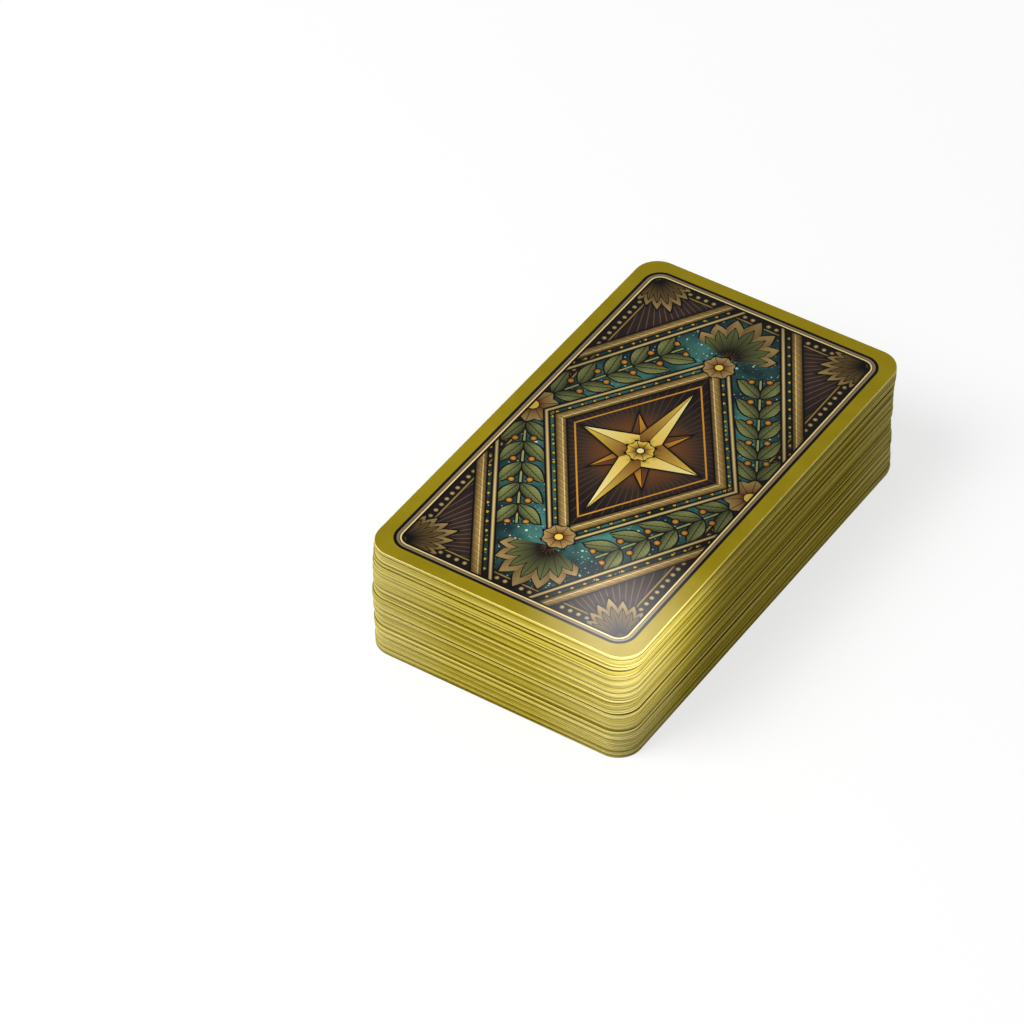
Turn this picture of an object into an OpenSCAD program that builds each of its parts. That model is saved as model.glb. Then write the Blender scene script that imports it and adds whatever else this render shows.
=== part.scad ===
// Tarot card deck: gilt-edged cards lying face down on a table, squared up by hand.
// Origin: the middle of the bottom card's underside. +X across the cards, +Y along them, +Z up.
// Card 0 is the bottom card. Each card lies in its own layer, so that it can turn or slide freely.

/* [Card] */
// Width of a card
card_w = 70; // [55:1:90]
// Length of a card
card_l = 120; // [95:1:150]
// Thickness of the board
card_t = 0.34; // [0.24:0.02:0.6]
// Radius of the die-cut corners
corner_r = 6; // [3:0.5:12]
// Width of the broken edge round both faces
edge_break = 0.06; // [0.02:0.01:0.1]

/* [Deck] */
// Cards in the deck
card_count = 78; // [62:1:90]
// Cards that turn or slide by themselves, counted down from the top
loose_count = 59; // [10:1:59]
// Film of air between two cards
air_gap = 0.06; // [0.04:0.01:0.2]

/* [Squareness] */
// How far the middle of the deck swells out across the cards
swell_x = 0.4; // [0:0.05:1]
// How far the middle of the deck swells out along the cards
swell_y = 0.2; // [0:0.05:1]
// Cards in one packet of the last cut
packet_size = 7; // [2:1:20]
// How far a packet may lie out of line
packet_jog = 0.14; // [0:0.02:0.5]
// How far a card may lie out of line with its packet
card_jog = 0.09; // [0:0.01:0.4]
// How far a card may turn out of line, in degrees
card_skew = 0.1; // [0:0.02:0.4]

/* [Hidden] */
gilt = [0.73, 0.65, 0.3];
packet_gilt = [0.6, 0.52, 0.2];

$fn = 64;

// The straight stretches of the outline, between the corner arcs
straight_w = card_w - 2 * corner_r;
straight_l = card_l - 2 * corner_r;

// The corner arcs' places, as shares of the straight stretches, and the turn of each arc
corner_shares = [[0.5, 0.5], [-0.5, 0.5], [-0.5, -0.5], [0.5, -0.5]];
corner_turn = 90;

// From one card to the next
pitch = card_t + air_gap;

// Chance places of the cards and packets, the same at every build
places_seed = 7;
card_x_shares = rands(-1, 1, card_count, places_seed);
card_y_shares = rands(-1, 1, card_count, places_seed + 1);
card_skew_shares = rands(-1, 1, card_count, places_seed + 2);
packet_x_shares = rands(-1, 1, card_count, places_seed + 3);
packet_y_shares = rands(-1, 1, card_count, places_seed + 4);

// Nodes: the packet that stays on the table, then the loose cards from the top down
function two_digits(n) = n < 10 ? str("0", n) : str(n);
function loose_name(n) = n == 1 ? "top_card" : str("card_", two_digits(n));

// Out-of-line place of a card, as [across, along, turn], before it is taken from the bottom card's
function swell_share(card) = sin(180 * card / (card_count - 1));
function rough_place(card) =
  let (packet = floor(card / packet_size))
  [
    packet_jog * packet_x_shares[packet] + card_jog * card_x_shares[card] - swell_x * swell_share(card),
    packet_jog * packet_y_shares[packet] + card_jog * card_y_shares[card] - swell_y * swell_share(card),
    card_skew * card_skew_shares[card]
  ];

// The bottom card lies true to the frame, and the others are placed from it
function card_place(card) = rough_place(card) - rough_place(0);

// Section of the card from a corner's centre line out to its edge
module edge_section() {
  polygon([
    [0, 0],
    [corner_r - edge_break, 0],
    [corner_r, edge_break],
    [corner_r, card_t - edge_break],
    [corner_r - edge_break, card_t],
    [0, card_t]
  ]);
}

// The section carried along one straight edge, which faces +X
module straight_edge(length) {
  rotate([90, 0, 0])
    linear_extrude(height = length, center = true)
      edge_section();
}

// The section turned round the four corners
module corner_arcs() {
  for (corner = [0:3])
    translate([corner_shares[corner].x * straight_w, corner_shares[corner].y * straight_l, 0])
      rotate([0, 0, corner * corner_turn])
        rotate_extrude(angle = corner_turn)
          edge_section();
}

// One card, its underside at height zero
module card_blank() {
  union() {
    translate([-straight_w / 2, -straight_l / 2, 0])
      cube([straight_w, straight_l, card_t]);
    for (side = [0, 180])
      rotate([0, 0, side]) {
        translate([straight_w / 2, 0, 0])
          straight_edge(straight_l);
        translate([0, straight_l / 2, 0])
          rotate([0, 0, 90])
            straight_edge(straight_w);
      }
    corner_arcs();
  }
}

// A card in its own layer of the deck
module card_in_deck(card) {
  place = card_place(card);
  translate([place.x, place.y, card * pitch])
    rotate([0, 0, place.z])
      card_blank();
}

// The lowest cards, which stay on the table while the others are fanned and drawn
module bottom_packet() {
  color(packet_gilt)
    for (card = [0:card_count - loose_count - 1])
      card_in_deck(card);
}

// A loose card, counted down from the top card, which is the first
module loose_card(n) {
  color(gilt)
    card_in_deck(card_count - n);
}

bottom_packet();
for (n = [1:loose_count])
  loose_card(n);
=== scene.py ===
# %% [markdown]
# # A gilt-edged tarot deck
# The object is a full deck of loose cards that lies face down, squared up by hand. The frame already says
# where every card lies, to a hundredth of a millimetre. What is left is the finish: thin boards with
# rolled edges, a gilding that runs round the whole deck, and a printed back. The frame is loaded first
# and nothing in it moves.

# %% Load the frame
import math

import bmesh
import bpy
import numpy as np
from mathutils import Matrix, Vector


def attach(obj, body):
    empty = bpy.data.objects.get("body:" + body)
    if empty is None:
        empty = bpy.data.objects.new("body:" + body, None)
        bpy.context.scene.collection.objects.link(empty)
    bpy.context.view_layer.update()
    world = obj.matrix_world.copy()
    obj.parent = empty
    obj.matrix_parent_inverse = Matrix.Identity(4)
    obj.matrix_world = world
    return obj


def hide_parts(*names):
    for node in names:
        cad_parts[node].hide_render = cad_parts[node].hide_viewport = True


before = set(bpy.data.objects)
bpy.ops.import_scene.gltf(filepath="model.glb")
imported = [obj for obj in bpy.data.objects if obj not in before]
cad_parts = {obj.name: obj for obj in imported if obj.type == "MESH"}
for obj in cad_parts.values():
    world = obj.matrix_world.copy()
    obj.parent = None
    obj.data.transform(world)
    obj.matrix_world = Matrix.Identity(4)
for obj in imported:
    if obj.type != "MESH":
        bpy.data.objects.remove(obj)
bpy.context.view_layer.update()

# %% [markdown]
# ## Where each card lies
# A squared deck is never quite square: each card is a little out of line and a little turned. Those
# places could be typed in, but they are already in the solids, so they are measured there. A card's
# outline looks the same when it is turned by half a turn, so the middle of its box is its centre, and the
# direction in which its points spread furthest is its long axis.

# %% Measure one card
MM = 0.001
POINT_DIGITS = 7


def node_points(name):
    """The different vertices of a CAD node, as an array of points in metres."""
    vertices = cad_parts[name].data.vertices
    flat = np.empty(3 * len(vertices), np.float32)
    vertices.foreach_get("co", flat)
    return np.unique(np.round(flat.reshape(-1, 3).astype(float), POINT_DIGITS), axis=0)


def measure_card(points):
    """The centre of one card's underside, the turn of its spread's long axis from +Y, and its size."""
    low, high = points.min(axis=0), points.max(axis=0)
    centre = (low + high) / 2
    spread = np.cov((points - centre)[:, :2].T)
    turn = 0.5 * math.atan2(-2 * spread[0, 1], spread[1, 1] - spread[0, 0])
    across = np.array([math.cos(turn), math.sin(turn)])
    along = np.array([-math.sin(turn), math.cos(turn)])
    reach = [2 * np.abs((points - centre)[:, :2] @ axis).max() for axis in (across, along)]
    return {"x": centre[0], "y": centre[1], "z": low[2], "turn": turn, "size": (*reach, high[2] - low[2])}


top_card = measure_card(node_points("top_card"))
card_w, card_l, card_t = top_card["size"]
print("a card in mm:", [round(side / MM, 3) for side in top_card["size"]])

# %% [markdown]
# ## The packet on the table
# Most nodes hold one card, but the lowest cards share a node, because they stay on the table while the
# others are fanned. They lie in layers one pitch apart, so a point's height tells its card.

# %% Measure every card
PACKET = "bottom_packet"
loose = ["top_card"] + sorted(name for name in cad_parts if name.startswith("card_"))
pitch = top_card["z"] - measure_card(node_points("card_02"))["z"]
air = pitch - card_t

packet_points = node_points(PACKET)
layer = np.floor((packet_points[:, 2] + air / 2) / pitch).astype(int)
cards_of = {PACKET: [measure_card(packet_points[layer == n]) for n in range(layer.max() + 1)]}
cards_of.update({name: [measure_card(node_points(name))] for name in loose})
all_cards = [card for cards in cards_of.values() for card in cards]
for card in all_cards:
    card["number"] = round(card["z"] / pitch)
card_count = len(all_cards)
print("cards:", card_count, "in the packet:", len(cards_of[PACKET]), "pitch in mm:", round(pitch / MM, 3))

# %% [markdown]
# ## The outline of a card
# A die cuts every card to one outline, a rectangle with rounded corners. It could be drawn as a curve,
# but as an array of points with the outward direction at each, it can carry any section round the card.

# %% The outline
CORNER_R = 6 * MM
ARC_STEPS = 10
LONG_STEPS = 8
SHORT_STEPS = 5


def card_outline():
    """Points round a rounded rectangle, anticlockwise, with the outward normal at each: four arcs and the
    straight runs that join the end of each arc to the start of the next."""
    signs = np.array([[1, 1], [-1, 1], [-1, -1], [1, -1]])
    centres = signs * [card_w / 2 - CORNER_R, card_l / 2 - CORNER_R]
    points, normals = [], []
    for corner in range(4):
        angle = (corner + np.linspace(0, 1, ARC_STEPS + 1)) * math.pi / 2
        facing = np.stack([np.cos(angle), np.sin(angle)], axis=1)
        run_steps = SHORT_STEPS if corner % 2 == 0 else LONG_STEPS
        share = np.arange(1, run_steps)[:, None] / run_steps
        run_start = centres[corner] + CORNER_R * facing[-1]
        run_end = centres[(corner + 1) % 4] + CORNER_R * facing[-1]
        points += [centres[corner] + CORNER_R * facing, run_start + share * (run_end - run_start)]
        normals += [facing, np.repeat(facing[-1:], run_steps - 1, axis=0)]
    return np.concatenate(points), np.concatenate(normals)


outline, outward = card_outline()
columns = len(outline)
steps = np.linalg.norm(np.roll(outline, -1, axis=0) - outline, axis=1)
run = np.concatenate([[0.0], np.cumsum(steps)])
print("points round the outline:", columns, "length round it in mm:", round(run[-1] / MM, 1))

# %% [markdown]
# ## The section of a card
# Under a glass a card is not a sharp-edged plate. The die rolls its edges over, and the gilder's
# burnisher leaves each edge leaning a little, which is why some edges in the deck flash and others stay
# dark. One section, drawn from the middle of the back over the edge to the middle of the face, is carried
# round the outline. A bevel could round the edges too, but it would round every card alike.

# %% The section
ROLL_STEPS = 3
ROLL_R = (0.05 * MM, 0.09 * MM)
ROLL_MARGIN = 0.02 * MM
FLAT_MARGIN = 0.4 * MM
LEAN = 0.03 * MM
SPINE_PULL = (1.0, 0.5, 0.0, 0.0)

chance = np.random.default_rng(11)
card_roll = chance.uniform(*ROLL_R, card_count)
card_lean = chance.uniform(-LEAN, LEAN, card_count)


def card_section(roll, lean):
    """Rows of one section: how far in from the outline, how high, and the share of the way in to the
    card's spine. A quarter round of the roll's radius turns the flat face into the wall, and the wall
    leans in by the lean at its top, or at its foot where the lean is negative. The lower half is the
    upper half turned over."""
    angle = np.linspace(0, math.pi / 2, ROLL_STEPS + 1)
    flat_inset = [FLAT_MARGIN, FLAT_MARGIN, FLAT_MARGIN, roll + ROLL_MARGIN]
    inset = np.concatenate([flat_inset, roll * (1 - np.sin(angle))])
    height = np.concatenate([np.full(len(SPINE_PULL), card_t), card_t - roll * (1 - np.cos(angle))])
    pull = np.concatenate([SPINE_PULL, np.zeros(ROLL_STEPS + 1)])
    inset = np.concatenate([inset, inset[::-1]])
    height = np.concatenate([height, card_t - height[::-1]])
    pull = np.concatenate([pull, pull[::-1]])
    leaning = height / card_t if lean > 0 else 1 - height / card_t
    return inset + abs(lean) * leaning, height, pull


rows = len(card_section(card_roll[0], card_lean[0])[0])
print("rows in a section:", rows, "mean roll in mm:", round(card_roll.mean() / MM, 3))

# %% [markdown]
# ## A card as one grid
# Outline and section together give the whole card as one closed surface on a grid: the place round the
# outline, and the row of the section. The innermost rows meet on a spine along the middle of the card.
# Which rows are back, edge and face is the same for every card, so the quads and their finishes are
# worked out once.

# %% The grid
BACK, EDGE, FACE = 0, 1, 2
FACE_ROWS = len(SPINE_PULL)
spine_half = (card_l - card_w) / 2
spine = np.stack([0 * outline[:, 0], np.clip(outline[:, 1], -spine_half, spine_half)], axis=1)

r, c = [grid.ravel() for grid in np.meshgrid(np.arange(rows - 1), np.arange(columns), indexing="ij")]
corner_r = np.stack([r, r + 1, r + 1, r], axis=1)
corner_c = np.stack([c, c, c + 1, c + 1], axis=1)
quads = corner_r * columns + corner_c % columns
finish_of = np.where(r < FACE_ROWS, BACK, np.where(r >= rows - 1 - FACE_ROWS, FACE, EDGE))


def card_form(card):
    """The grid on the card's own plane, its points where the card lies, and each row's share of the way
    over the edge. A point goes in from the outline by its row's inset, then towards the spine by its
    row's pull."""
    inset, height, pull = card_section(card_roll[card["number"]], card_lean[card["number"]])
    flat = outline[None] - inset[:, None, None] * outward[None]
    flat = flat + pull[:, None, None] * (spine[None] - flat)
    cos, sin = math.cos(card["turn"]), math.sin(card["turn"])
    x = card["x"] + cos * flat[..., 0] - sin * flat[..., 1]
    y = card["y"] + sin * flat[..., 0] + cos * flat[..., 1]
    z = np.broadcast_to(card["z"] + height[:, None], x.shape)
    over = np.concatenate([[0.0], np.cumsum(np.hypot(np.diff(inset), np.diff(height)))])
    over = np.clip((over - over[FACE_ROWS]) / (over[-1 - FACE_ROWS] - over[FACE_ROWS]), 0, 1)
    return flat, np.stack([x, y, z], axis=-1).reshape(-1, 3), over


print("quads on a card:", len(quads), "back, edge, face:", np.bincount(finish_of))

# %% [markdown]
# ## Maps that the print and the gilding follow
# The print is laid out in card millimetres from the card's middle, so every card carries it in the same
# place however it lies. The gilding needs another map: how far round the outline a point is, and which
# card it is on. A third map is only for baking: the back and the face lie side by side in it, with the
# edges as strips below.

# %% The maps
BAKE_MARGIN = 0.01
BAKE_STRIP = 0.14
BAKE_HALF = 0.5
bake_scale = (BAKE_HALF - 2 * BAKE_MARGIN) / card_w


def card_maps(flat, over, number, strip, strips):
    """The maps at every corner of the quads: millimetres on the card; millimetres round the outline, with
    the card's number plus the share over the edge; and the place on the bake sheet."""
    place = flat[corner_r, corner_c % columns]
    on_sheet = place * bake_scale + [BAKE_HALF / 2, (1 + BAKE_STRIP) / 2]
    on_sheet = on_sheet + np.where(finish_of == FACE, BAKE_HALF, 0.0)[:, None, None] * [1, 0]
    strip_height = (BAKE_STRIP - 2 * BAKE_MARGIN) / strips
    strip_x = BAKE_MARGIN + (1 - 2 * BAKE_MARGIN) * run[corner_c] / run[-1]
    strip_y = BAKE_MARGIN + strip_height * (strip + over[corner_r])
    on_strip = np.stack([strip_x, strip_y], axis=-1)
    return {
        "print": place / MM,
        "rim": np.stack([run[corner_c] / MM, number + over[corner_r]], axis=-1),
        "OFBake": np.where((finish_of == EDGE)[:, None, None], on_strip, on_sheet),
    }


print("bake sheet: a card is", round(bake_scale * card_w, 3), "by", round(bake_scale * card_l, 3), "of it")

# %% [markdown]
# ## One piece for one or more cards
# The grids of a body's cards are joined into one mesh. The two innermost rows of a card double back on
# the spine, so their points are merged there, which closes the surface.

# %% Join grids into a piece
def card_piece(name, cards):
    """One object for some cards: grids joined, maps set, and the points merged on each spine."""
    forms = [card_form(card) for card in cards]
    maps = [
        card_maps(flat, over, card["number"], strip, len(cards))
        for strip, ((flat, _, over), card) in enumerate(zip(forms, cards))
    ]
    starts = np.arange(len(cards)) * rows * columns
    faces = np.concatenate([quads + start for start in starts])
    mesh = bpy.data.meshes.new(name)
    mesh.from_pydata(np.concatenate([form[1] for form in forms]), [], faces)
    mesh.polygons.foreach_set("material_index", np.tile(finish_of, len(cards)).astype(np.int32))
    mesh.polygons.foreach_set("use_smooth", np.ones(len(faces), bool))
    for title in maps[0]:
        places = np.concatenate([card_map[title] for card_map in maps])
        mesh.uv_layers.new(name=title).uv.foreach_set("vector", places.astype(np.float32).ravel())
    shell = bmesh.new()
    shell.from_mesh(mesh)
    bmesh.ops.remove_doubles(shell, verts=shell.verts, dist=air / 100)
    shell.to_mesh(mesh)
    shell.free()
    piece = bpy.data.objects.new(name, mesh)
    bpy.context.scene.collection.objects.link(piece)
    return piece


pieces = {node: card_piece(f"printed_{node}", cards) for node, cards in cards_of.items()}
print("pieces:", len(pieces), "points on the top card:", len(pieces["top_card"].data.vertices))

# %% [markdown]
# ## Shader maths as plain formulas
# A card back is line work: frames, straps, leaves and a star. Drawn as nodes by hand it would be a wall
# of boxes, so one small class wraps a socket and turns arithmetic on it into Math nodes. A shape is then
# a formula for the distance to its edge, negative inside, and painting it means mixing a colour in where
# that distance is negative.

# %% Sockets
class Socket:
    """A number that changes over a surface. Arithmetic on it adds Math nodes to its finish."""

    def __init__(self, finish, output):
        self.finish = finish
        self.output = output

    def math(self, operation, *others, clamp=False, swap=False):
        """A Math node on this number and the others; where swap is set, this number comes last."""
        terms = [*others, self] if swap else [self, *others]
        settings = {"operation": operation, "use_clamp": clamp}
        node = self.finish.node("ShaderNodeMath", settings, dict(enumerate(terms)))
        return Socket(self.finish, node.outputs[0])

    def __add__(self, other):
        return self.math("ADD", other)

    __radd__ = __add__

    def __sub__(self, other):
        return self.math("SUBTRACT", other)

    def __rsub__(self, other):
        return self.math("SUBTRACT", other, swap=True)

    def __mul__(self, other):
        return self.math("MULTIPLY", other)

    __rmul__ = __mul__

    def __truediv__(self, other):
        return self.math("DIVIDE", other)

    def __rtruediv__(self, other):
        return self.math("DIVIDE", other, swap=True)

    def __abs__(self):
        return self.math("ABSOLUTE")

    def __neg__(self):
        return self.math("MULTIPLY", -1.0)

    def at_least(self, other):
        """The larger of two numbers."""
        return self.math("MAXIMUM", other)

    def at_most(self, other):
        """The smaller of two numbers."""
        return self.math("MINIMUM", other)


print("socket operators:", [name for name in vars(Socket) if name.startswith("__")][1:])

# %% [markdown]
# ## A finish and its nodes
# Every material here, and the world too, is a tree of nodes round one shader. One method makes any node
# from its type, its settings and its sockets, and a few more give names to what is used often: a map's
# axes, a colour laid over another, smooth chance, a small relief, and two shaders in one.

# %% Finishes
COLOUR_FACTOR, COLOUR_BELOW, COLOUR_ABOVE, COLOUR_RESULT = 0, 6, 7, 2


class Finish:
    """A material or a world and its nodes, which node() makes from a type, settings and sockets."""

    def __init__(self, owner, shader="Principled BSDF"):
        owner.use_nodes = True
        self.owner = owner
        self.tree = owner.node_tree
        self.shader = self.tree.nodes[shader]

    def node(self, kind, settings=None, sockets=None):
        """A new node of a kind: its settings are set first, then its sockets are filled or linked."""
        made = self.tree.nodes.new(kind)
        for name, value in (settings or {}).items():
            setattr(made, name, value)
        self.join(made, sockets or {})
        return made

    def join(self, node, sockets):
        """Links each socket whose value changes over the surface, and fills in the others."""
        for key, value in sockets.items():
            if isinstance(value, Socket):
                self.tree.links.new(value.output, node.inputs[key])
            else:
                node.inputs[key].default_value = value

    def out(self, node, key=0):
        """One output of a node, ready for arithmetic."""
        return Socket(self, node.outputs[key])

    def map_axes(self, title):
        """The two axes of one of the piece's own maps."""
        place = self.out(self.node("ShaderNodeUVMap", {"uv_map": title}))
        split = self.node("ShaderNodeSeparateXYZ", None, {0: place})
        return self.out(split, 0), self.out(split, 1)

    def place(self, x, y, z=0.0):
        """Three numbers as one vector."""
        return self.out(self.node("ShaderNodeCombineXYZ", None, {0: x, 1: y, 2: z}))

    def mix(self, share, below, above):
        """The colour above laid over the colour below, as thickly as the share says."""
        sockets = {COLOUR_FACTOR: share, COLOUR_BELOW: below, COLOUR_ABOVE: above}
        return self.out(self.node("ShaderNodeMix", {"data_type": "RGBA"}, sockets), COLOUR_RESULT)

    def noise(self, x, y, scale, detail=2.0):
        """Smooth chance between 0 and 1, on two axes."""
        sockets = {"Vector": self.place(x, y), "Scale": scale, "Detail": detail}
        return self.out(self.node("ShaderNodeTexNoise", {"noise_dimensions": "2D"}, sockets), 0)

    def relief(self, height, depth, strength):
        """The normal of a surface that rises with the height, by the depth where the height is 1."""
        sockets = {"Height": height, "Distance": depth, "Strength": strength}
        return self.out(self.node("ShaderNodeBump", None, sockets))

    def blend(self, share, first, second):
        """Two shaders in one, with as much of the second as the share says."""
        sockets = {0: share, 1: self.out(first), 2: self.out(second)}
        return self.out(self.node("ShaderNodeMixShader", None, sockets))

    def shade(self, **sockets):
        """Sets the shader's own sockets; an underscore in a name stands for a space."""
        self.join(self.shader, {name.replace("_", " "): value for name, value in sockets.items()})


def material(name):
    """The finish of a new material."""
    return Finish(bpy.data.materials.new(name))


print("finish methods:", [name for name in vars(Finish) if not name.startswith("_")])

# %% [markdown]
# ## Colours and ramps
# Colours are written as they look on a screen, because that is how they are picked from the real thing,
# and turned into the linear colours that shaders work in. Three formulas turn up everywhere: the length
# of two steps at a right angle, a ramp that rises from 0 to 1 between two values, and a value wrapped
# into equal cells.

# %% Small helpers
def srgb(red, green, blue):
    """A colour as it looks on a screen, from 0 to 255, as the linear colour that shaders work in."""
    shares = np.array([red, green, blue]) / 255
    linear = np.where(shares <= 0.04045, shares / 12.92, ((shares + 0.055) / 1.055) ** 2.4)
    return (*linear.tolist(), 1.0)


def hypot(x, y):
    """The root of the sum of two squares."""
    return (x * x + y * y).math("SQRT")


def ramp(value, low, high):
    """0 where the value is at the low end, 1 at the high end, straight between and flat beyond."""
    return value.math("MULTIPLY_ADD", 1 / (high - low), -low / (high - low), clamp=True)


def wrapped(value, step):
    """The value's offset from the middle of its own cell, for cells of one step."""
    return value.math("WRAP", step / 2, -step / 2)


print("middle grey on a screen, as linear light:", round(srgb(128, 128, 128)[0], 3))

# %% [markdown]
# ## Gilded edges
# A gilder clamps the deck, sands its sides, lays on metal leaf and burnishes it. What shows afterwards is
# one metal over many thin edges: each card takes the leaf a little differently, so the side is ruled with
# fine light and dark lines, and the burnisher leaves streaks that run along the cards. The tone therefore
# comes from the card's number, and the streaks from chance that is stretched along the outline. The same
# streaks, as a relief of a few hundredths of a millimetre, break up the shine. The gilding is paler at the
# corners: partly where hands rub the leaf thin and the pale board shows through, and partly a painted
# highlight that stands in for the light the rounded corners catch.

# %% The gilt finish
GILT_DEEP = srgb(80, 64, 1)
GILT = srgb(185, 167, 56)
GILT_LIGHT = srgb(222, 206, 118)
# The pale board under the leaf, laid on the corners as wear and as a painted highlight.
BOARD_AND_HIGHLIGHT = srgb(242, 229, 160)
RULE_STEP = 4.1
RULE_WANDER = 9
RULE_DEPTHS = (0.2, 0.22)
# Painted highlight: the top cards, counted by this number, get lighter edges for the light along the top
# rim.
HIGHLIGHT_CARDS = 1.5
DRIFT_SCALE = 0.15
STRENGTH_SCALE = 0.13
STRENGTH_ROW = 9.0
STRENGTH_RANGE = (0.36, 0.6)
STREAK_SCALES = (0.022, 1.1)
BRUSH_SCALES = (2.2, 0.25)
OWN_TONE = 0.22
DRIFT_TONE = 0.55
STREAK_TONE = 0.5
BRUSH_TONE = 0.12
RIM_HIGHLIGHT_TONE = 0.3
TONE_BASE = 0.22
MIDDLE_TONES = (0.05, 0.5)
LIGHT_TONES = (0.55, 1.0)
RUB_AND_HIGHLIGHT_REACH = 23.0
RUB_AND_HIGHLIGHT_TONES = (0.35, 0.9)
RUB_AND_HIGHLIGHT_SHARE = 0.5
RUB_AND_HIGHLIGHT_OWN = 0.5
GILT_ROUGHNESS = 0.36
BRUSH_SHINE = 0.2
STREAK_DEPTH = 0.03 * MM
BRUSH_RELIEF = 0.3
GILT_RELIEF = 0.4


def from_corner(along):
    """How far round the outline the middle of the nearest corner is, in millimetres. Half of the outline
    holds two corners, one at its start and one after the short run."""
    half_round = run[-1] / MM / 2
    first = run[ARC_STEPS] / MM / 2
    second = first + run[ARC_STEPS + SHORT_STEPS] / MM
    return abs(wrapped(along - first, half_round)).at_most(abs(wrapped(along - second, half_round)))


def gilt_finish():
    """The tone is a wave over the cards plus chance: by card, by packet, and in long and short streaks."""
    gilt = material("gilt_edge")
    along, card = gilt.map_axes("rim")
    number = card.math("FLOOR")
    own = gilt.out(gilt.node("ShaderNodeTexWhiteNoise", {"noise_dimensions": "1D"}, {"W": number}), 0)
    drift = gilt.noise(number, 0.0, DRIFT_SCALE, detail=1.0)
    strength = ramp(gilt.noise(number, STRENGTH_ROW, STRENGTH_SCALE, detail=1.0), *STRENGTH_RANGE)
    wave = (number * (2 * math.pi / RULE_STEP) + drift * RULE_WANDER).math("SINE")
    ruling = wave * (RULE_DEPTHS[0] + RULE_DEPTHS[1] * strength)
    streak = gilt.noise(along * STREAK_SCALES[0], card * STREAK_SCALES[1], 1.0)
    brushed = gilt.noise(along * BRUSH_SCALES[0], card * BRUSH_SCALES[1], 1.0)
    # Painted highlight: the edges of the top two cards are lighter, for the light caught along the deck's
    # top rim.
    outer = (number - (card_count - 1 - HIGHLIGHT_CARDS)).math("GREATER_THAN", 0.0)
    tone = ruling + own * OWN_TONE + drift * DRIFT_TONE + streak * STREAK_TONE
    tone = tone + brushed * BRUSH_TONE + outer * RIM_HIGHLIGHT_TONE - TONE_BASE
    colour = gilt.mix(ramp(tone, *MIDDLE_TONES), GILT_DEEP, GILT)
    colour = gilt.mix(ramp(tone, *LIGHT_TONES), colour, GILT_LIGHT)
    # Paler at the corners: worn leaf showing the board, and a painted highlight for the light on the
    # rounded corners.
    rubbed_and_highlight = ramp(from_corner(along), RUB_AND_HIGHLIGHT_REACH, 0.0) * ramp(own * RUB_AND_HIGHLIGHT_OWN + streak, *RUB_AND_HIGHLIGHT_TONES)
    colour = gilt.mix(rubbed_and_highlight * RUB_AND_HIGHLIGHT_SHARE, colour, BOARD_AND_HIGHLIGHT)
    gilt.shade(
        Base_Color=colour,
        Roughness=GILT_ROUGHNESS + BRUSH_SHINE * brushed,
        Metallic=0.12,
        Specular_IOR_Level=0.0,
        Normal=gilt.relief(streak + BRUSH_RELIEF * brushed, STREAK_DEPTH, GILT_RELIEF),
    )
    return gilt.owner


gilt_edge = gilt_finish()
print("gilt nodes:", len(gilt_edge.node_tree.nodes))

# %% [markdown]
# ## Ink on card
# The back is printed in flat inks with dark outlines, and its lengths are in millimetres. A shape's
# distance says how much ink lies on a point, with an edge a few hundredths of a millimetre soft. Laid
# over the picture, a shape first darkens the ground round it a little, which lifts it, then gets its
# outline and its own colour.

# %% Lay a shape
INK = srgb(8, 6, 4)
SOFT = 0.06
LINE = 0.45
SHADOW_REACH = 1.5


def cover(distance):
    """How much ink lies on a point at this distance outside a shape's edge: all inside, none outside."""
    return distance.math("MULTIPLY_ADD", -1 / SOFT, 0.5, clamp=True)


def lay(back, picture, distance, fill, line=LINE, shadow=0.5):
    """A shape over the picture: a soft shadow round it, a dark line at its edge, then its own colour."""
    if shadow:
        picture = back.mix(ramp(distance, SHADOW_REACH, 0.0) * shadow, picture, INK)
    inked = back.mix(cover(distance - line), picture, INK)
    return back.mix(cover(distance), inked, fill)


print("ink edge in mm:", SOFT, "outline:", LINE, "shadow:", SHADOW_REACH)

# %% [markdown]
# ## Border and frame
# A card back has to look the same either way up, so its design is drawn once in a quarter and mirrored by
# taking the size of x and y. The drawing starts with the gold border and its frame: a dark line, a dull
# brass band with a groove and a bright inner edge, and a fine dark line. All of them are the distance to
# one rounded rectangle.

# %% The frame
BORDER_W = 3.45
FRAME_R = 4.6
FRAME_DARK_W = 0.74
FRAME_BRASS_W = 1.14
FRAME_INNER_W = 0.55
GROOVE_IN = 0.5
GROOVE_EDGE = (0.16, 0.06)
GLINT_IN = 0.2
GLINT_HALF_W = 0.18
FRAME_GREY = srgb(118, 104, 82)
BRASS_LIGHT = srgb(212, 188, 126)
BRASS = srgb(160, 130, 72)
BRASS_DARK = srgb(84, 64, 34)
half_w, half_l = card_w / MM / 2, card_l / MM / 2
frame_w = BORDER_W + FRAME_DARK_W + FRAME_BRASS_W + FRAME_INNER_W
panel_w, panel_l = half_w - frame_w, half_l - frame_w


def rounded_box(x, y, half_x, half_y, radius):
    """Distance to a rounded rectangle, for x and y that are already sizes: the corner's round distance
    outside the straight runs, and the nearer side's distance inside."""
    over_x = x - (half_x - radius)
    over_y = y - (half_y - radius)
    outside = hypot(over_x.at_least(0), over_y.at_least(0))
    return outside + over_x.at_least(over_y).at_most(0) - radius


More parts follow.
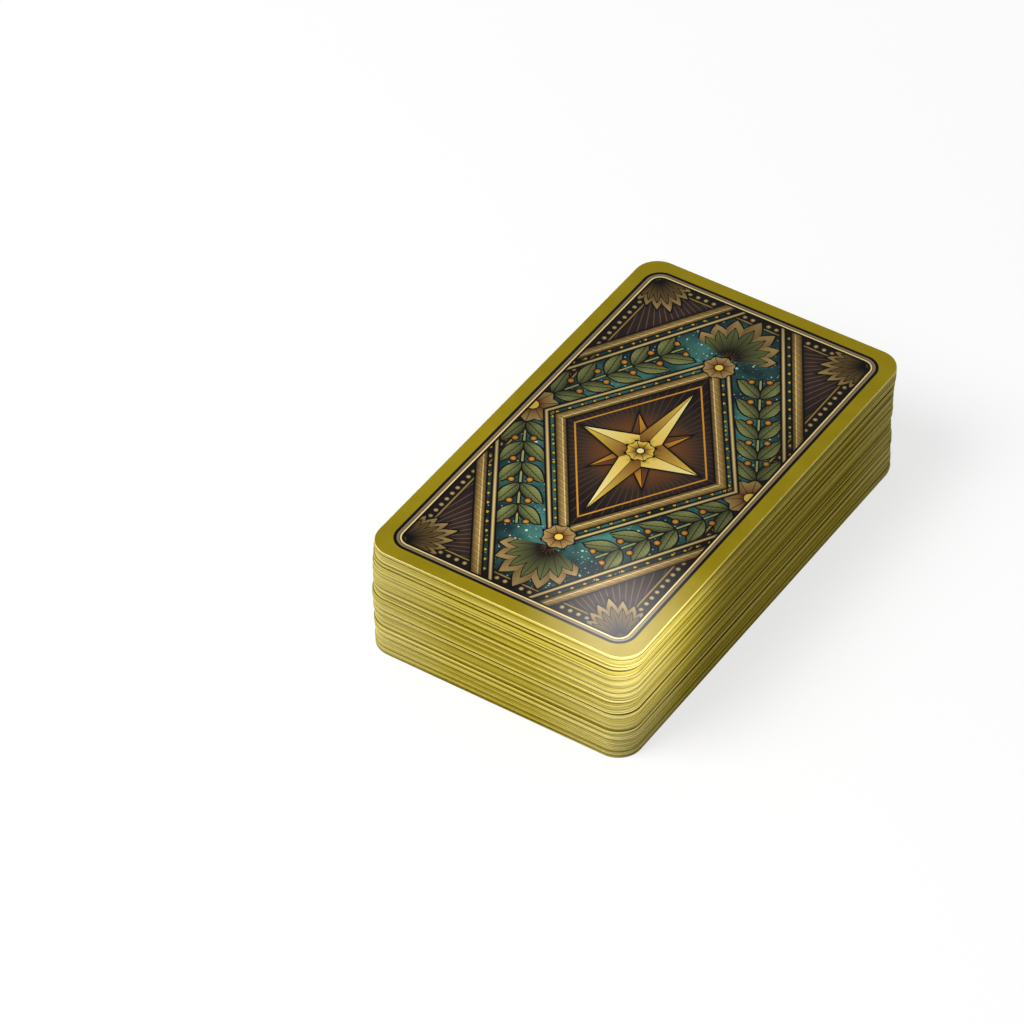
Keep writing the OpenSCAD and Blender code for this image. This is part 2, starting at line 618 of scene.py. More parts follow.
def frame_lines(back, x, y, picture, panel):
    """From the border in: a dark line, a dull band with a groove and a glint, a fine line, the panel."""
    inwards = -rounded_box(x, y, half_w - BORDER_W, half_l - BORDER_W, FRAME_R)
    brass_start = FRAME_DARK_W
    brass_end = FRAME_DARK_W + FRAME_BRASS_W
    groove = ramp(abs(inwards - (brass_end - GROOVE_IN)), *GROOVE_EDGE)
    brass = back.mix(groove, FRAME_GREY, BRASS_DARK)
    glint = cover(abs(inwards - (brass_end - GLINT_IN)) - GLINT_HALF_W)
    brass = back.mix(glint, brass, BRASS_LIGHT)
    picture = back.mix(cover(-inwards), picture, INK)
    picture = back.mix(cover(brass_start - inwards), picture, brass)
    picture = back.mix(cover(brass_end - inwards), picture, INK)
    return back.mix(cover(brass_end + FRAME_INNER_W - inwards), picture, panel)


print("panel in mm:", round(2 * panel_w, 1), "by", round(2 * panel_l, 1))

# %% [markdown]
# ## Night ground
# The middle of the panel is a night sky: two teals in soft clouds, brighter towards the middle, with
# specks of light of different sizes. Specks could be drawn one by one, but a Voronoi pattern scatters
# them: each cell gives its point a size by chance, and most of them come out too small to see.

# %% The night ground
TEAL_DEEP = srgb(20, 40, 44)
TEAL = srgb(44, 78, 75)
TEAL_BRIGHT = srgb(80, 144, 131)
STARLIGHT = srgb(190, 214, 200)
CLOUD_SCALE = 0.09
CLOUD_RANGE = (0.35, 0.68)
GLOW_RANGE = (0.3, 0.7)
SPECKS = ((0.75, 0.16), (0.28, 0.1))
SPECK_SHARE = 0.9


def night_ground(back, x, y, glow):
    """Two teals in clouds; a speck is the distance to a cell's point less a size by chance."""
    cloud = back.noise(x, y, CLOUD_SCALE, detail=4.0)
    ground = back.mix(ramp(cloud, *CLOUD_RANGE), TEAL_DEEP, TEAL)
    ground = back.mix(glow * ramp(cloud, *GLOW_RANGE), ground, TEAL_BRIGHT)
    for scale, size in SPECKS:
        sockets = {"Vector": back.place(x, y), "Scale": scale}
        cells = back.node("ShaderNodeTexVoronoi", {"voronoi_dimensions": "2D"}, sockets)
        chance_of = back.out(back.node("ShaderNodeSeparateXYZ", None, {0: back.out(cells, "Color")}), 0)
        speck = back.out(cells, "Distance") - size * chance_of * chance_of
        ground = back.mix(cover(speck * (1 / scale)) * SPECK_SHARE, ground, STARLIGHT)
    return ground


print("largest specks in mm:", [round(2 * size / scale, 2) for scale, size in SPECKS])

# %% [markdown]
# ## Ribbed grounds
# Each corner, and the middle of the back, has a dark ground with fine ribs that fan out from one point,
# as an engraver would rule them. The angle round that point, wrapped into equal steps, gives every rib.

# %% The ribbed grounds
BROWN = srgb(50, 39, 34)
BROWN_DARK = srgb(26, 19, 20)
RIB = srgb(120, 88, 72)
RIB_STEP = math.radians(5)
RIB_W = 0.16


def ribbed_ground(back, x, y, centre_x, centre_y, reach, tones, rib):
    """A ground whose tone changes with the distance from a centre, with ribs at equal angles round it."""
    dx, dy = centre_x - x, centre_y - y
    radius = hypot(dx, dy)
    ground = tones[0]
    for step, tone in enumerate(tones[1:]):
        ground = back.mix(ramp(radius, reach * step, reach * (step + 1)), ground, tone)
    off_rib = wrapped(dy.math("ARCTAN2", dx), RIB_STEP)
    return back.mix(cover(abs(off_rib) * radius - RIB_W / 2), ground, rib)


print("ribs round a centre:", round(2 * math.pi / RIB_STEP))

# %% [markdown]
# ## Straps
# Brass straps cut off the corners and frame the middle as a lozenge. A strap is a straight line's
# distance used twice: across it for the rounded tone, and along it for slanting cuts like the lay of a
# rope. Beside each runs a thin cord, with a row of small studs between the two.

# %% The straps
CORNER_FOOT = (panel_w, 21.0)
CORNER_HEAD = (9.0, panel_l)
LOZENGE_TIPS = (21.5, 32.0)
STRAP_W = 1.15
STRAP_FLAT_HALF_W = 0.2 * STRAP_W
STRAP_GLINT_OUT = 0.3 * STRAP_W
STRAP_GLINT_HALF_W = 0.13
ROPE_LAY = 2.4
CUT_HALF_W = 0.07
CUT_SHADE_RUN = (-0.1 * ROPE_LAY, -0.5 * ROPE_LAY)
CUT_SHADE = 0.55
CORD_W = 0.42
CORD_OUT = 3.2
STUD_OUT = 0.56 * CORD_OUT
STUD_STEP = 3.1
STUD_HALF_W = 0.34
FINE_LINE = 0.2
DIAGONAL = math.sqrt(0.5)
GOLD = srgb(226, 190, 74)


def line_axes(x, y, start, end):
    """How far a point lies beyond a line through two points, and how far along it."""
    length = math.dist(start, end)
    run_x, run_y = (end[0] - start[0]) / length, (end[1] - start[1]) / length
    along = x * run_x + y * run_y - (start[0] * run_x + start[1] * run_y)
    beyond = x * run_y - y * run_x - (start[0] * run_y - start[1] * run_x)
    return beyond, along


def strap(back, picture, across, along):
    """A brass strap: dark lines at its sides, a rounded tone across it, and cuts like a rope's lay."""
    brass = back.mix(ramp(abs(across), STRAP_W, STRAP_FLAT_HALF_W), BRASS_DARK, BRASS)
    cut = wrapped(along + across, ROPE_LAY)
    brass = back.mix(ramp(cut, *CUT_SHADE_RUN) * CUT_SHADE, brass, BRASS_DARK)
    brass = back.mix(cover(abs(across + STRAP_GLINT_OUT) - STRAP_GLINT_HALF_W), brass, BRASS_LIGHT)
    brass = back.mix(cover(abs(cut) - CUT_HALF_W), brass, INK)
    return lay(back, picture, abs(across) - STRAP_W, brass)


def cord_and_studs(back, picture, across, along):
    """Beside a strap, lozenge studs, each the sum of two sizes less a half-width, and a thin cord."""
    stud = (abs(across - STUD_OUT) + abs(wrapped(along, STUD_STEP))) * DIAGONAL - STUD_HALF_W
    picture = lay(back, picture, stud, GOLD, FINE_LINE, shadow=0)
    beside = abs(across - CORD_OUT)
    brass = back.mix(ramp(beside, CORD_W, 0.0), BRASS_DARK, BRASS_LIGHT)
    return lay(back, picture, beside - CORD_W, brass)


strap_lengths = (math.dist(CORNER_FOOT, CORNER_HEAD), math.hypot(*LOZENGE_TIPS))
print("strap lengths in mm:", [round(length, 1) for length in strap_lengths])

# %% [markdown]
# ## Bead border
# Inside the frame runs a dark band with a row of brass beads, closed by a thin brass line, like the
# beading round a picture frame. The place along each side, wrapped into steps, makes the row, and the
# step is chosen so that a whole bead falls into every corner.

# %% The bead border
BEAD_IN = 1.3
BEAD_R = 0.62
BEAD_GLINT_R = 0.1
BEAD_STEP = 2.2
BAND_W = 2.6
BAND_LINE_HALF_W = 0.2
row_w, row_l = panel_w - BEAD_IN, panel_l - BEAD_IN
step_w, step_l = row_w / round(row_w / BEAD_STEP), row_l / round(row_l / BEAD_STEP)


def bead_border(back, x, y, picture):
    """A band as wide as the distance from the frame says; a bead belongs to the nearer of two rows."""
    inwards = -rounded_box(x, y, panel_w, panel_l, FRAME_R / 2)
    picture = lay(back, picture, inwards - BAND_W, BROWN_DARK)
    picture = back.mix(cover(abs(inwards - BAND_W) - BAND_LINE_HALF_W), picture, BRASS)
    by_long = hypot(x - row_w, wrapped(y, step_l))
    by_short = hypot(y - row_l, wrapped(x, step_w))
    away = by_long.at_most(by_short)
    bead = back.mix(ramp(away, BEAD_GLINT_R, BEAD_R), BRASS_LIGHT, BRASS_DARK)
    return lay(back, picture, away - BEAD_R, bead, FINE_LINE, shadow=0)


print("beads round the back:", 4 * (round(row_w / step_w) + round(row_l / step_l)))

# %% [markdown]
# ## Laurel
# The ornaments are old ones that belong to nobody: laurel sprigs, rosettes, palmettes and an eight-point
# star. Each repeats, so each is drawn once in a cell that wraps along a stem or round a centre. A leaf is
# a length and a half-width that swells and closes again along it, with a midrib, side veins, and a berry
# in each fork.

# %% The laurel sprigs
SPRIG_START = (27.4, 5.4)
SPRIG_END = (9.6, 37.0)
LEAF_STEP = 7.0
LEAF_LENGTH = 8.6
LEAF_HALF_W = 1.75
LEAF_LIT_W = 0.8 * LEAF_HALF_W
LEAF_FULLEST = 0.85
FOLD_W = 0.05
FOLD_SHADE = 0.35
LEAF_SLANT = math.radians(37)
LEAF_PAIRS = 5
LEAF_FOOT = 3.0
FOOT_SHADE = 0.7
LEAF_START = 0.4
VEIN_STEP = 1.2
VEIN_SLANT = 0.9
VEIN_HALF_W = 0.06
VEIN_SHADE = 0.5
MIDRIB_HALF_W = 0.11
STEM_HALF_W = 0.24
STEM_LINE = 0.3
BERRY_R = 0.75
BERRY_GLINT_R = 0.2 * BERRY_R
BERRY_PLACE = (0.9, 2.1)
OLIVE_DARK = srgb(40, 50, 32)
OLIVE = srgb(78, 92, 54)
OLIVE_LIGHT = srgb(142, 144, 86)
RUST = srgb(118, 70, 32)
AMBER = srgb(200, 140, 44)


def petal(along, across, length, half_width, fullest=1.0):
    """Distance to a petal that runs from 0 to the length: its half-width is a half wave along it, and a
    power of the share moves the fullest place towards the foot or the tip."""
    share = (along / length).math("MULTIPLY", 1.0, clamp=True)
    wave = (share.math("POWER", fullest) * math.pi).math("SINE")
    beside = abs(across) - half_width * wave
    return beside.at_least(-along).at_least(along - length)


def leaf_green(back, along, across):
    """Lighter on one side of the midrib, dark at the foot, with slanting veins and a dark midrib."""
    green = back.mix(ramp(across, -LEAF_HALF_W, LEAF_LIT_W), OLIVE_DARK, OLIVE_LIGHT)
    green = back.mix(ramp(across, 0.0, FOLD_W) * FOLD_SHADE, green, OLIVE)
    green = back.mix(ramp(along, LEAF_FOOT, 0.0) * FOOT_SHADE, green, OLIVE_DARK)
    vein = wrapped(along - abs(across) * VEIN_SLANT, VEIN_STEP)
    green = back.mix(cover(abs(vein) - VEIN_HALF_W) * VEIN_SHADE, green, INK)
    return back.mix(cover(abs(across) - MIDRIB_HALF_W), green, INK)


def laurel(back, x, y, picture):
    """A straight sprig: the leaf's cell wraps along the stem, and the size of the offset makes pairs."""
    beyond, along = line_axes(x, y, SPRIG_START, SPRIG_END)
    side = abs(beyond)
    length = LEAF_PAIRS * LEAF_STEP
    within = abs(along - length / 2) - length / 2 + LINE
    picture = lay(back, picture, (side - STEM_HALF_W).at_least(within), OLIVE_LIGHT, STEM_LINE)
    cell = along.math("WRAP", LEAF_STEP, 0.0)
    cos, sin = math.cos(LEAF_SLANT), math.sin(LEAF_SLANT)
    leaf_along = cell * cos + side * sin - LEAF_START
    leaf_across = side * cos - cell * sin
    leaf = petal(leaf_along, leaf_across, LEAF_LENGTH, LEAF_HALF_W, LEAF_FULLEST).at_least(within)
    picture = lay(back, picture, leaf, leaf_green(back, leaf_along, leaf_across), shadow=0)
    berry = hypot(wrapped(along, LEAF_STEP) + BERRY_PLACE[0], side - BERRY_PLACE[1])
    red = back.mix(ramp(berry, BERRY_GLINT_R, BERRY_R), AMBER, RUST)
    return lay(back, picture, (berry - BERRY_R).at_least(within), red, STEM_LINE, shadow=0)


print("sprig in mm:", round(math.dist(SPRIG_START, SPRIG_END), 1), "leaves on it:", 2 * LEAF_PAIRS)

# %% [markdown]
# ## Rosettes
# A rosette pins each tip of the lozenge, one sits on the star, and half rosettes stand on the long sides
# of the frame. The angle round the centre, wrapped into equal steps, makes one petal into a whole flower.

# %% The rosettes
TAN = srgb(158, 132, 80)
CREAM = srgb(240, 224, 152)
PETAL_FILL = 0.98
PETAL_FULLEST = 1.5
PETAL_TONES = (0.2, 0.9)
PETAL_LINE_HALF_W = 0.08
EYE_SHARE = 0.24


def rosette(back, x, y, picture, petals, radius, tip, heart, eye):
    """A flower of equal petals, dark at the heart and light at the tips, with a small eye."""
    step = 2 * math.pi / petals
    away = hypot(x, y)
    off = wrapped(y.math("ARCTAN2", x), step)
    along, across = away * off.math("COSINE"), away * off.math("SINE")
    flower = petal(along, across, radius, radius * math.sin(step / 2) * PETAL_FILL, PETAL_FULLEST)
    colour = back.mix(ramp(away, PETAL_TONES[0] * radius, PETAL_TONES[1] * radius), heart, tip)
    colour = back.mix(cover(abs(across) - PETAL_LINE_HALF_W), colour, INK)
    picture = lay(back, picture, flower, colour)
    return lay(back, picture, away - EYE_SHARE * radius, eye, STEM_LINE)


print("rosette colours:", len({TAN, RUST, GOLD, CREAM}))

# %% [markdown]
# ## Palmettes
# A palmette is a fan of petals on one foot, longest in the middle. One stands at each end of the panel,
# and a narrower one sits in each corner like a shell. The nearest whole step of the angle says which
# petal a point is on.

# %% The palmettes
BRONZE = srgb(82, 60, 34)
BRONZE_LIGHT = srgb(116, 92, 50)
SAGE = srgb(92, 98, 56)
PALMETTE_PETALS = 7
PALMETTE_FILL = 0.9
PALMETTE_FULLEST = 1.35
PALMETTE_TONES = (0.25, 0.95)
PALMETTE_SHADE = 0.6
PETAL_FALL = 0.09
HATCH_STEP = 0.85
HATCH_SLANT = 1.2
HATCH_FADE = (0.98, 0.6)
HATCH_SHADE = 0.7
HEART_START = 0.12
HEART_LENGTH = 0.66
HEART_WIDTH = 0.5
HEART_FULLEST = 1.2
HEART_TONES = (0.2, 0.75)
HEART_LINE_HALF_W = 0.07
HEART_LINE = 0.22


def palmette(back, x, y, picture, length, spread, heart_tone):
    """A fan of petals: the angle picks the petal, and each is shorter by the same step from the middle
    out. Each petal holds a smaller one of another colour."""
    away = hypot(x, y)
    angle = x.math("ARCTAN2", y)
    index = (angle / spread).math("ROUND")
    off = angle - index * spread
    along, across = away * off.math("COSINE"), away * off.math("SINE")
    reach = length - abs(index) * (PETAL_FALL * length)
    outside = (abs(index) - PALMETTE_PETALS / 2) * length
    half_width = PALMETTE_FILL * length * math.sin(spread / 2)
    leaf = petal(along, across, reach, half_width, PALMETTE_FULLEST).at_least(outside)
    heart_along = along - HEART_START * length
    inner = petal(heart_along, across, reach * HEART_LENGTH, HEART_WIDTH * half_width, HEART_FULLEST)
    inner = inner.at_least(outside)
    share = along / reach
    colour = back.mix(ramp(share, *PALMETTE_TONES), BRONZE, TAN)
    colour = back.mix(ramp(across, 0.0, half_width) * PALMETTE_SHADE, colour, BRONZE)
    hatch = wrapped(along + abs(across) * HATCH_SLANT, HATCH_STEP)
    hatched = cover(abs(hatch) - PETAL_LINE_HALF_W) * ramp(share, *HATCH_FADE) * HATCH_SHADE
    colour = back.mix(hatched, colour, BROWN_DARK)
    heart = back.mix(ramp(share, *HEART_TONES), BROWN_DARK, heart_tone)
    heart = back.mix(cover(abs(across) - HEART_LINE_HALF_W), heart, INK)
    picture = lay(back, picture, leaf, colour)
    return lay(back, picture, inner, heart, HEART_LINE, shadow=0)


print("outer petal's share of the middle one:", 1 - PETAL_FALL * (PALMETTE_PETALS // 2))

# %% [markdown]
# ## A compass star
# The star in the middle has eight points, each split down its length into a lit and a shaded half, as on
# an old chart. One four-point star is drawn twice, the second time turned by an eighth, with the long
# points on top.

# %% The star
STAR_NARROW = 1.5
STAR_LONG = (23.0, 4.4)
STAR_SHORT = (15.0, 3.4)
STAR_LINE = 0.5
STAR_TONES = (0.1, 0.9)
STAR_HATCH_SLANT = 2
STAR_HATCH_SHADE = 0.5
STAR_HATCH_HALF_W = 0.1
STAR_RIDGE_HALF_W = 0.12


def star_points(near, far, tip, waist):
    """Distance to a four-point star, from the smaller and the larger of x and y: in one eighth of it,
    that is the line from a tip to a waist on the diagonal."""
    length = math.hypot(tip - waist, waist)
    return (near * (tip - waist) + far * waist - tip * waist) / length


def compass_star(back, x, y, picture):
    """An eight-point star, each point with a lit and a shaded half, the long ones over the short ones."""
    x = x * STAR_NARROW
    turned_x, turned_y = (x + y) * DIAGONAL, (y - x) * DIAGONAL
    for px, py, (tip, waist), lit, shaded, deep in (
        (turned_x, turned_y, STAR_SHORT, AMBER, RUST, BROWN),
        (x, y, STAR_LONG, CREAM, GOLD, RUST),
    ):
        ax, ay = abs(px), abs(py)
        near, far = ax.at_most(ay), ax.at_least(ay)
        facing = (px * py * (ay - ax)).math("GREATER_THAN", 0.0)
        towards_tip = ramp(far, STAR_TONES[0] * tip, STAR_TONES[1] * tip)
        facet = back.mix(facing, back.mix(towards_tip, deep, shaded), back.mix(towards_tip, shaded, lit))
        hatch = wrapped(far - STAR_HATCH_SLANT * near, HATCH_STEP)
        hatched = cover(abs(hatch) - STAR_HATCH_HALF_W) * (1 - facing) * STAR_HATCH_SHADE
        facet = back.mix(hatched, facet, deep)
        points = star_points(near, far, tip, waist)
        picture = lay(back, picture, points, facet, STAR_LINE)
        ridge = (near - STAR_RIDGE_HALF_W).at_least(points)
        picture = back.mix(cover(ridge), picture, INK)
    return picture


print("star in mm:", round(2 * STAR_LONG[0] / STAR_NARROW, 1), "by", 2 * STAR_LONG[0])

# %% [markdown]
# ## The panel
# The picture is built up as a screen printer would, from the ground to the last ornament: the night
# ground with its sprigs and palmettes, then the ribbed corners behind their straps, then the lozenge with
# its star. At the end the panel is darkened a little, and more towards its sides, like an old print.

# %% Compose the panel
GLOW_REACH = 14.0
RIB_REACH = 15.0
RIB_CENTRE_OUT = 1
BLAZE_REACH = 6.8
AMBER_LINE_HALF_W = 0.2
PALMETTE_FOOT = 37.6
PALMETTE_LENGTH = 15.6
PALMETTE_SPREAD = math.radians(21)
SHELL_LENGTH = 13.0
SHELL_SPREAD = math.radians(14)
SIDE_PETALS = 10
SIDE_R = 6.0
HUB_PETALS = 8
HUB_R = 3.4
TIP_PETALS = 8
TIP_R = 3.9
TIP_OUT = 2.2
SHADE_REACH = 9.0
SIDE_SHADE = 0.3
PANEL_SHADE = 0.17


def panel_picture(back, along_x, along_y, x, y):
    """The layers of the panel in the order in which they are printed."""
    lozenge, lozenge_run = line_axes(x, y, (LOZENGE_TIPS[0], 0), (0, LOZENGE_TIPS[1]))
    corner, corner_run = line_axes(x, y, CORNER_FOOT, CORNER_HEAD)
    panel = night_ground(back, along_x, along_y, ramp(lozenge, GLOW_REACH, 0.0))
    rib_x, rib_y = panel_w + RIB_CENTRE_OUT, panel_l + RIB_CENTRE_OUT
    ribs = ribbed_ground(back, x, y, rib_x, rib_y, RIB_REACH, (BROWN_DARK, BROWN, BROWN_DARK), RIB)
    panel = back.mix(cover(-corner), panel, ribs)
    panel = bead_border(back, x, y, panel)
    panel = laurel(back, x, y, panel)
    panel = palmette(back, x, y - PALMETTE_FOOT, panel, PALMETTE_LENGTH, PALMETTE_SPREAD, SAGE)
    panel = rosette(back, x - panel_w, y, panel, SIDE_PETALS, SIDE_R, TAN, RUST, GOLD)
    shell_x, shell_y = panel_w - x, panel_l - y
    shell_x, shell_y = (shell_x - shell_y) * DIAGONAL, (shell_x + shell_y) * DIAGONAL
    panel = palmette(back, shell_x, shell_y, panel, SHELL_LENGTH, SHELL_SPREAD, BRONZE_LIGHT)
    panel = cord_and_studs(back, panel, -corner, corner_run)
    panel = strap(back, panel, corner, corner_run)

    blaze = ribbed_ground(back, x, y, 0.0, 0.0, BLAZE_REACH, (AMBER, RUST, BROWN, BROWN_DARK), BRONZE)
    panel = back.mix(cover(lozenge), panel, blaze)
    panel = back.mix(cover(abs(lozenge + CORD_OUT) - AMBER_LINE_HALF_W), panel, AMBER)
    panel = cord_and_studs(back, panel, lozenge, lozenge_run)
    panel = strap(back, panel, lozenge, lozenge_run)
    panel = compass_star(back, along_x, along_y, panel)
    panel = rosette(back, along_x, along_y, panel, HUB_PETALS, HUB_R, GOLD, RUST, CREAM)
    panel = rosette(back, x, y - LOZENGE_TIPS[1] - TIP_OUT, panel, TIP_PETALS, TIP_R, TAN, RUST, GOLD)
    to_side = -rounded_box(x, y, panel_w, panel_l, FRAME_R / 2)
    return back.mix(ramp(to_side, SHADE_REACH, 0.0) * SIDE_SHADE + PANEL_SHADE, panel, INK)


print("palmettes stand from", PALMETTE_FOOT, "to", PALMETTE_FOOT + PALMETTE_LENGTH, "mm from the middle")

# %% [markdown]
# ## The whole back
# Round the panel goes the frame, and round that the gold border. Coated card is not quite even: a fine
# grain breaks the flat colours and the shine, a slow mottle runs through the gold ink, and the grain
# stands up as a very low relief under the varnish.

# %% The back finish
BORDER = srgb(133, 116, 12)
BORDER_LIGHT = srgb(148, 131, 26)
MOTTLE_SCALE = 0.12
MOTTLE_RANGE = (0.4, 0.75)
MOTTLE_SHARE = 0.4
GRAIN_SCALE = 2.6
GRAIN_DEPTH = 0.01 * MM
GRAIN_SHARE = 0.16
GRAIN_SHINE = 0.08
GRAIN_RELIEF = 0.3
BACK_ROUGHNESS = 0.3


def back_finish():
    """Border, frame and panel in one picture, under a fine grain."""
    back = material("card_back_print")
    along_x, along_y = back.map_axes("print")
    x, y = abs(along_x), abs(along_y)
    mottle = ramp(back.noise(along_x, along_y, MOTTLE_SCALE, detail=3.0), *MOTTLE_RANGE)
    border = back.mix(mottle * MOTTLE_SHARE, BORDER, BORDER_LIGHT)
    picture = frame_lines(back, x, y, border, panel_picture(back, along_x, along_y, x, y))
    grain = back.noise(along_x, along_y, GRAIN_SCALE, detail=3.0)
    back.shade(
        Base_Color=back.mix(GRAIN_SHARE * grain, picture, INK),
        Roughness=BACK_ROUGHNESS + GRAIN_SHINE * grain,
        Specular_IOR_Level=0.045,
        Normal=back.relief(grain, GRAIN_DEPTH, GRAIN_RELIEF),
    )
    return back.owner


card_back = back_finish()
print("back print nodes:", len(card_back.node_tree.nodes))

# %% [markdown]
# ## The faces
# The cards lie face down, so their faces show only when a card is lifted. They share the border and
# frame, round an ivory panel with one plain star.

# %% The face finish
IVORY = srgb(232, 222, 190)
FIBRE_SCALE = 0.4
FIBRE_SHARE = 0.2
FACE_ROUGHNESS = 0.42


def face_finish():
    """The border and the frame round an ivory panel with one star."""
    face = material("card_face_print")
    along_x, along_y = face.map_axes("print")
    fibre = face.noise(along_x, along_y, FIBRE_SCALE, detail=4.0)
    panel = face.mix(fibre * FIBRE_SHARE, IVORY, TAN)
    panel = compass_star(face, along_x, along_y, panel)
    picture = frame_lines(face, abs(along_x), abs(along_y), BORDER, panel)
    grain = face.noise(along_x, along_y, GRAIN_SCALE, detail=3.0)
    face.shade(
        Base_Color=picture,
        Roughness=FACE_ROUGHNESS + GRAIN_SHINE * grain,
        Specular_IOR_Level=0.1,
        Normal=face.relief(grain, GRAIN_DEPTH, GRAIN_RELIEF),
    )
    return face.owner


card_face = face_finish()
print("face print nodes:", len(card_face.node_tree.nodes))

# %% [markdown]
# ## Dress the deck
# Every loose card is a piece of its own and rides on its own body, so that it can be fanned or dealt. The
# packet that stays on the table is one piece of many cards. Each piece hides the CAD node it stands for.

# %% Dress the pieces
for node, piece in pieces.items():
    for finish in (card_back, gilt_edge, card_face):
        piece.data.materials.append(finish)
    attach(piece, node)
    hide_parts(node)
print("dressed:", len(pieces), "finishes on each:", len(pieces["top_card"].data.materials))

# %% [markdown]
# ## The table
# The deck lies on a white table. A really white table would throw so much light back that the shaded side
# would go flat, so it is grey to scattered light, and white to the camera and to reflections. A little
# glow lifts it, more further off, so the background is white and the shadow beside the deck stays.

# %% The table
TABLE_SIZE = 4.0
TABLE_WHITE = (0.9, 0.9, 0.9, 1)
TABLE_GREY = (0.18, 0.18, 0.18, 1)
TABLE_LIFT = 0.7
TABLE_FADE = (0.15, 0.7)
WHITE = (1, 1, 1, 1)


def seen(finish):
    """1 for rays that show a thing to the camera, in a mirror or through glass, and 0 for its light."""
    path = finish.node("ShaderNodeLightPath")
    camera_ray, glossy, transmission = [
        finish.out(path, f"Is {kind} Ray") for kind in ("Camera", "Glossy", "Transmission")
    ]
    return (camera_ray + glossy + transmission).at_most(1.0)


def make_table():
    """A square in the plane of the table; the lift grows with the distance from the deck."""
    corners = np.array([[-1, -1, 0], [1, -1, 0], [1, 1, 0], [-1, 1, 0]]) * TABLE_SIZE
    mesh = bpy.data.meshes.new("table")
    mesh.from_pydata(corners, [], [(0, 1, 2, 3)])
    table = bpy.data.objects.new("table", mesh)
    bpy.context.scene.collection.objects.link(table)
    white = material("white_table")
    shown = seen(white)
    white.shade(Base_Color=white.mix(shown, TABLE_GREY, TABLE_WHITE), Roughness=0.8, Specular_IOR_Level=0.1)
    place = white.out(white.node("ShaderNodeTexCoord"), "Object")
    away = white.out(white.node("ShaderNodeVectorMath", {"operation": "LENGTH"}, {0: place}), "Value")
    lift = TABLE_LIFT + (1 - TABLE_LIFT) * ramp(away, *TABLE_FADE)
    glow = white.node("ShaderNodeEmission", None, {"Color": WHITE, "Strength": 1.0})
    lifted = white.blend(shown * lift, white.shader, glow)
    white.join(white.tree.nodes["Material Output"], {"Surface": lifted})
    mesh.materials.append(white.owner)
    return table


table = make_table()
print("table in m:", list(table.dimensions))

# %% [markdown]
# ## The room
# The room's own light is soft and low, and the same from every side. What the camera and the reflections
# see of it is plain white, like a studio's backdrop.

# %% The world
WORLD_STRENGTH = 0.4


def make_world():
    """Low soft light for the deck, and a plain white backdrop for the camera and the reflections."""
    room = Finish(bpy.data.worlds.new("studio"), "Background")
    room.shade(Color=WHITE, Strength=WORLD_STRENGTH)
    backdrop = room.node("ShaderNodeBackground", None, {"Color": WHITE, "Strength": 1.0})
    shown = room.blend(seen(room), room.shader, backdrop)
    room.join(room.tree.nodes["World Output"], {"Surface": shown})
    bpy.context.scene.world = room.owner


make_world()
bpy.context.scene.view_settings.view_transform = "Standard"
print("room light:", WORLD_STRENGTH, "view:", bpy.context.scene.view_settings.view_transform)

# %% [markdown]
# ## The lamps
# The light comes mostly from a soft box at the front left, so the short side is bright and the long right
# side falls into shade. Two small lamps with soft-edged cones put a glare on the near corner: one from
# the right for the gilding, and one from behind that mirrors in the varnish of the top card.

# %% The lamps
NEAR_CORNER = Vector((card_w / 2 - CORNER_R, CORNER_R - card_l / 2, card_count * pitch))
SIDE_SHIFT = 5 * MM
SIDE_START = NEAR_CORNER + Vector((0, SIDE_SHIFT, 0))
SPOT_RADIUS = 0.01
SPOT_DISTANCE = 0.5


def direction(azimuth, elevation):
    """The way to a place at an azimuth from the front and an elevation, in degrees, as a unit vector."""
    turn, rise = math.radians(azimuth), math.radians(elevation)
    return Vector((math.sin(turn) * math.cos(rise), -math.cos(turn) * math.cos(rise), math.sin(rise)))


def add_lamp(light, target, azimuth, elevation, distance):
    """A lamp that faces a target, at an azimuth from the front, an elevation and a distance from it."""
    backwards = direction(azimuth, elevation)
    lamp = bpy.data.objects.new(light.name, light)
    lamp.location = target + distance * backwards
    lamp.rotation_euler = backwards.to_track_quat("Z", "Y").to_euler()
    bpy.context.scene.collection.objects.link(lamp)
    return lamp


def soft_box(name, azimuth, elevation, distance, size, power):
    """A square soft box that faces the middle of the deck."""
    light = bpy.data.lights.new(name, "AREA")
    light.size = size
    light.energy = power
    return add_lamp(light, Vector((0, 0, 0)), azimuth, elevation, distance)


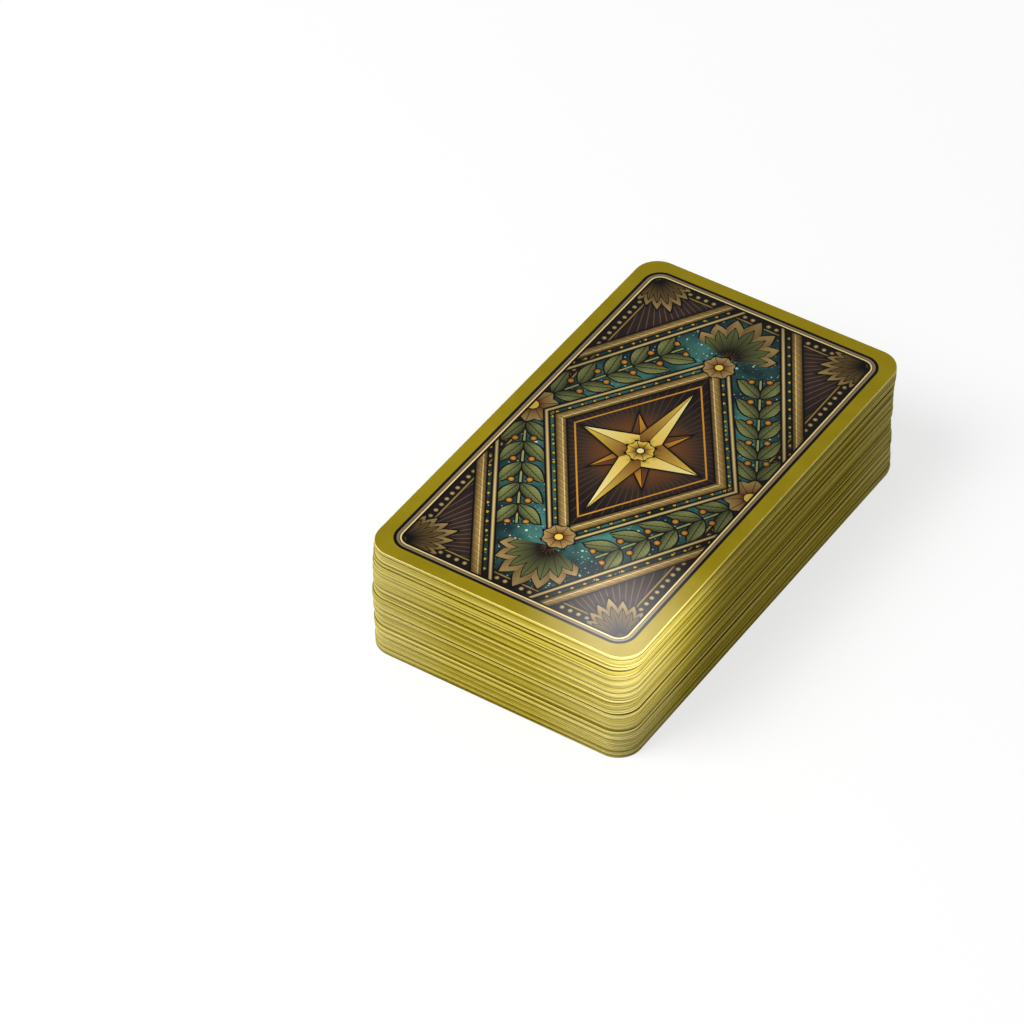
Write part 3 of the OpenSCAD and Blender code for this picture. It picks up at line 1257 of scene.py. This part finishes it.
def soft_spot(name, target, azimuth, elevation, radius, power):
    """A cone of light on a target, full in the middle and gone at the radius."""
    light = bpy.data.lights.new(name, "SPOT")
    light.spot_size = 2 * math.atan2(radius, SPOT_DISTANCE)
    light.spot_blend = 1.0
    light.shadow_soft_size = SPOT_RADIUS
    light.energy = power
    return add_lamp(light, target, azimuth, elevation, SPOT_DISTANCE)


key = soft_box("key", azimuth=-35, elevation=50, distance=1.2, size=0.7, power=15.0)
front_glare = soft_spot("front_glare", SIDE_START, azimuth=64, elevation=16, radius=0.028, power=18.0)
front_glare.visible_glossy = False
top_glare = soft_spot("top_glare", NEAR_CORNER, azimuth=213, elevation=42.7, radius=0.019, power=13.0)
print("lamps in W:", {lamp.name: lamp.data.energy for lamp in (key, front_glare, top_glare)})

# %% [markdown]
# ## The camera
# The photograph's camera was worked out from the deck's own edges: their directions give the azimuth and
# the elevation, and the way in which they close up gives the lens and the distance. It is a long lens
# from well above.

# %% The camera
VIEW_AZIMUTH = 33.23
VIEW_ELEVATION = 42.7
QUARTER_TURN = 90
VIEW_DISTANCE = 1.1992
FOCAL_PX = 5193.5
FRAME_PX = 1024
SENSOR_MM = 36
ORIGIN_RIGHT = 28.88 * MM
ORIGIN_UP = -9.0 * MM


def make_camera():
    """The camera stands back along the view from the point that lies in the middle of the frame."""
    backwards = direction(VIEW_AZIMUTH, VIEW_ELEVATION)
    right = direction(VIEW_AZIMUTH + QUARTER_TURN, 0)
    up = backwards.cross(right)
    lens = bpy.data.cameras.new("camera")
    lens.sensor_width = SENSOR_MM
    lens.lens = FOCAL_PX * SENSOR_MM / FRAME_PX
    camera = bpy.data.objects.new("camera", lens)
    turn = Matrix((right, up, backwards)).transposed().to_4x4()
    place = VIEW_DISTANCE * backwards - ORIGIN_RIGHT * right - ORIGIN_UP * up
    camera.matrix_world = Matrix.Translation(place) @ turn
    bpy.context.scene.collection.objects.link(camera)
    bpy.context.scene.camera = camera
    return camera


camera = make_camera()
print("lens in mm:", round(camera.data.lens, 1))

# %% [markdown]
# ## Sizes
# The dressed deck must not be larger than the solids it stands for.
